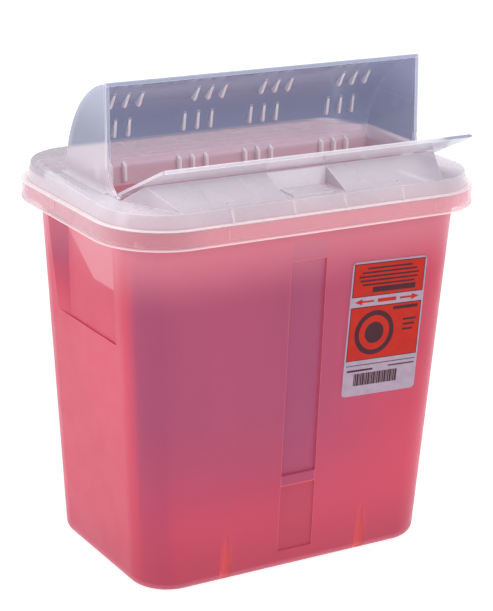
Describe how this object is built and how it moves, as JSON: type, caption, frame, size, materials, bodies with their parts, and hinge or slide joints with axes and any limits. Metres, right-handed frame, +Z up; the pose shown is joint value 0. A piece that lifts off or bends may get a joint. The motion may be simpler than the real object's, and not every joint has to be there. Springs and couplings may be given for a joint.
{
  "type": "sharps container",
  "caption": "Tapered red tub with a press-fit milky lid, a clear barrel-backed hood and a drop door that swings up to close the hood's mouth.",
  "frame": {"origin": "on the table, under the middle of the container", "axes": "+Z up, +X to the right along the wide front face, -Y towards the front, where the drop door opens"},
  "size_m": [0.2666, 0.18, 0.3199],
  "materials": {
    "red_polypropylene": "translucent satin, fine moulded grain",
    "milky_polypropylene": "milky translucent satin",
    "clear_plastic": "clear with a faint cool tint, glossy",
    "label_paper": "coated, semi-matte",
    "orange_ink": "printed, semi-matte",
    "dark_ink": "printed, semi-matte"
  },
  "bodies": {
    "container": {"container_body": "red_polypropylene", "lid": "milky_polypropylene", "hood": "clear_plastic", "label_sheet": "label_paper", "label_orange_print": "orange_ink", "label_dark_print": "dark_ink"},
    "door": {"drop_door": "clear_plastic"}
  },
  "joints": [
    {"name": "door_swing", "type": "hinge", "parent": "container", "child": "door", "pos_m": [0, -0.035, 0.2529], "axis": [-1, 0, 0], "range_deg": [0, 96]}
  ]
}
